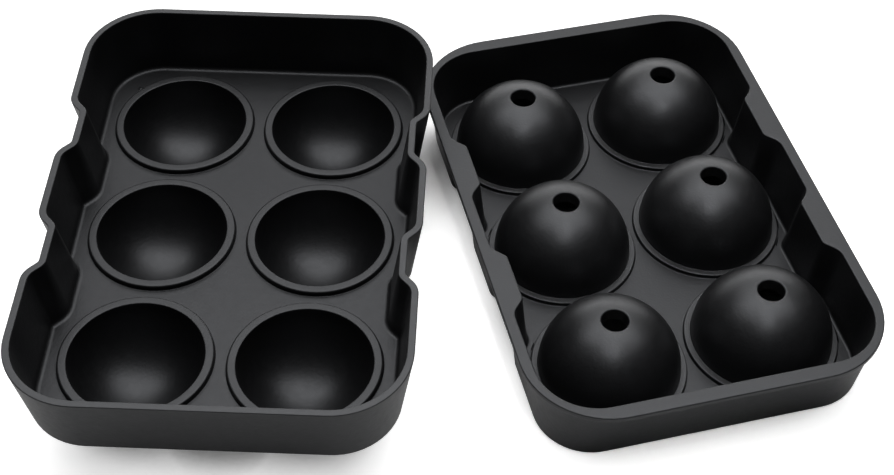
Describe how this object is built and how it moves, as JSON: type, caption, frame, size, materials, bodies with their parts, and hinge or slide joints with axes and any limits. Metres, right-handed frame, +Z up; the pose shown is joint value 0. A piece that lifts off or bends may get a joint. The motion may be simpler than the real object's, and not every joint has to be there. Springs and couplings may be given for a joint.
{
  "type": "ice ball mold",
  "caption": "Silicone ice ball mold: a deep tray of half-ball cups with sealing lips, and a lid of half-ball domes with fill holes, lying beside it at a slight turn.",
  "frame": {"origin": "middle of the space that tray and lid take up side by side, on the surface that both stand on", "axes": "+Z up, +X from the tray towards the lid, +Y along the tray, away from a viewer in front of it"},
  "size_m": [0.2844, 0.2172, 0.0472],
  "materials": {
    "tray": "matte black silicone",
    "lid": "matte black silicone"
  },
  "bodies": {
    "tray": {"tray": "tray"},
    "lid": {"lid": "lid"}
  },
  "joints": [
    {"name": "lid_lift", "type": "slide", "parent": "tray", "child": "lid", "axis": [0.2079, 0, 0.9781], "range_m": [0, 0.08]}
  ]
}
